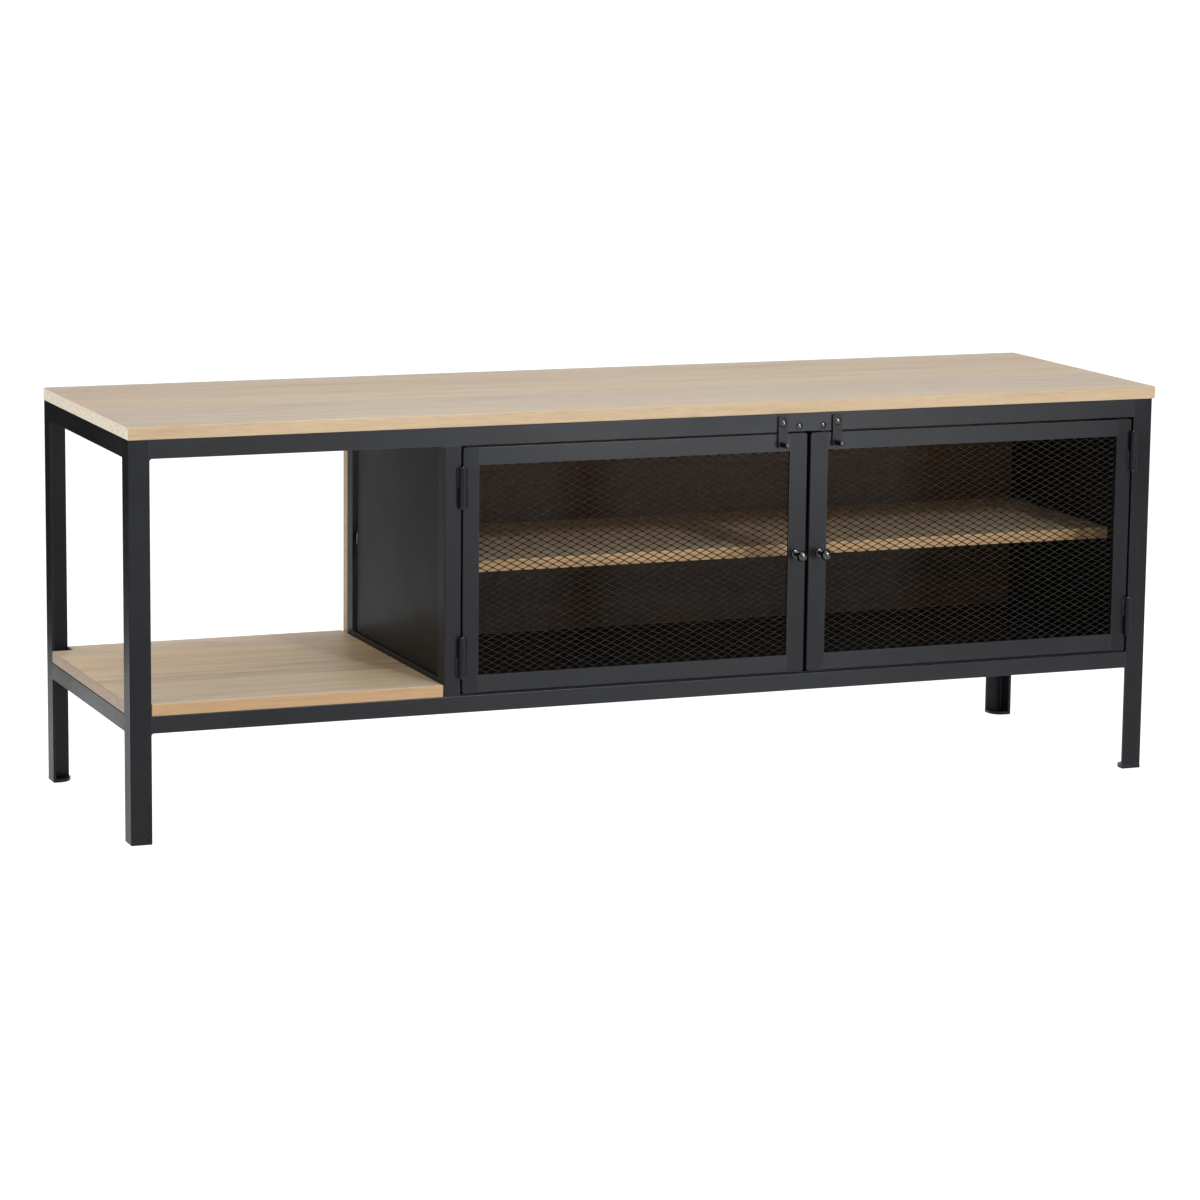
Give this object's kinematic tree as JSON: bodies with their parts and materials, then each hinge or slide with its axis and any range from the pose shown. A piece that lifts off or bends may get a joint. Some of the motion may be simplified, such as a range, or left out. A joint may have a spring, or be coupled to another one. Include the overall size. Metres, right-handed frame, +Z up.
{
  "type": "tv stand with doors",
  "caption": "Low TV stand: solid wood top on a black welded steel angle frame, open bay beside a cabinet closed by hinged expanded-metal doors with swivel latches.",
  "frame": {"origin": "on the floor under the middle of the whole stand, knobs included: the bottom centre of its bounding box", "axes": "+Z up; +X along the width, to the right as seen from the front; the doors and knobs face -Y"},
  "size_m": [1.3036, 0.4033, 0.48],
  "materials": {
    "wood_top": "light sanded solid wood, clear matt lacquer",
    "wood_board": "solid wood, clear matt lacquer",
    "black_steel": "black powder coat, satin",
    "black_sheet": "black powder coat, satin",
    "mesh": "black powder coat on expanded metal",
    "hardware": "black painted steel, semi-gloss",
    "screw_steel": "zinc-plated steel"
  },
  "bodies": {
    "frame": {"back_panel": "wood_board", "back_panel_screws": "screw_steel", "bottom_front_rail": "black_steel", "bottom_left_rail": "black_steel", "bottom_rear_rail": "black_steel", "bottom_right_rail": "black_steel", "cabinet_floor": "black_sheet", "cabinet_shelf": "wood_board", "cabinet_shelf_screws": "screw_steel", "divider_bottom_rail": "black_steel", "divider_front_post": "black_steel", "divider_panel": "black_sheet", "divider_rear_post": "black_steel", "divider_top_rail": "black_steel", "door_stop_bracket": "black_steel", "door_stop_rivets": "hardware", "front_left_foot_plate": "black_steel", "front_left_leg": "black_steel", "front_right_foot_plate": "black_steel", "front_right_leg": "black_steel", "hinge_pins": "hardware", "latch_pivot_rivets": "hardware", "left_hinge_frame_barrels": "hardware", "open_bay_shelf": "wood_board", "open_bay_shelf_screws": "screw_steel", "rear_left_foot_plate": "black_steel", "rear_left_leg": "black_steel", "rear_right_foot_plate": "black_steel", "rear_right_leg": "black_steel", "right_hinge_frame_barrels": "hardware", "right_side_panel": "black_sheet", "shelf_bracket_left": "black_steel", "shelf_bracket_right": "black_steel", "top_fixing_screws": "screw_steel", "top_front_rail": "black_steel", "top_left_rail": "black_steel", "top_rear_rail": "black_steel", "top_right_rail": "black_steel", "wood_top": "wood_top"},
    "left_door": {"left_door_bottom_rail": "black_steel", "left_door_hinge_barrels": "hardware", "left_door_hinge_stile": "black_steel", "left_door_knob": "hardware", "left_door_knob_screw": "screw_steel", "left_door_meeting_stile": "black_steel", "left_door_mesh": "mesh", "left_door_top_rail": "black_steel"},
    "right_door": {"right_door_bottom_rail": "black_steel", "right_door_hinge_barrels": "hardware", "right_door_hinge_stile": "black_steel", "right_door_knob": "hardware", "right_door_knob_screw": "screw_steel", "right_door_meeting_stile": "black_steel", "right_door_mesh": "mesh", "right_door_top_rail": "black_steel"},
    "left_latch": {"left_latch_pin": "hardware", "left_latch_strap": "hardware"},
    "right_latch": {"right_latch_pin": "hardware", "right_latch_strap": "hardware"}
  },
  "joints": [
    {"name": "left_door_hinge", "type": "hinge", "parent": "frame", "child": "left_door", "pos_m": [-0.254, -0.18, 0.3], "axis": [0, 0, -1], "range_deg": [0, 170]},
    {"name": "right_door_hinge", "type": "hinge", "parent": "frame", "child": "right_door", "pos_m": [0.6225, -0.18, 0.3], "axis": [0, 0, 1], "range_deg": [0, 170]},
    {"name": "left_latch_swivel", "type": "hinge", "parent": "frame", "child": "left_latch", "pos_m": [0.15, -0.1755, 0.4535], "axis": [0, 1, 0], "range_deg": [-50, 95]},
    {"name": "right_latch_swivel", "type": "hinge", "parent": "frame", "child": "right_latch", "pos_m": [0.221, -0.1755, 0.4535], "axis": [0, -1, 0], "range_deg": [-35, 95]}
  ]
}
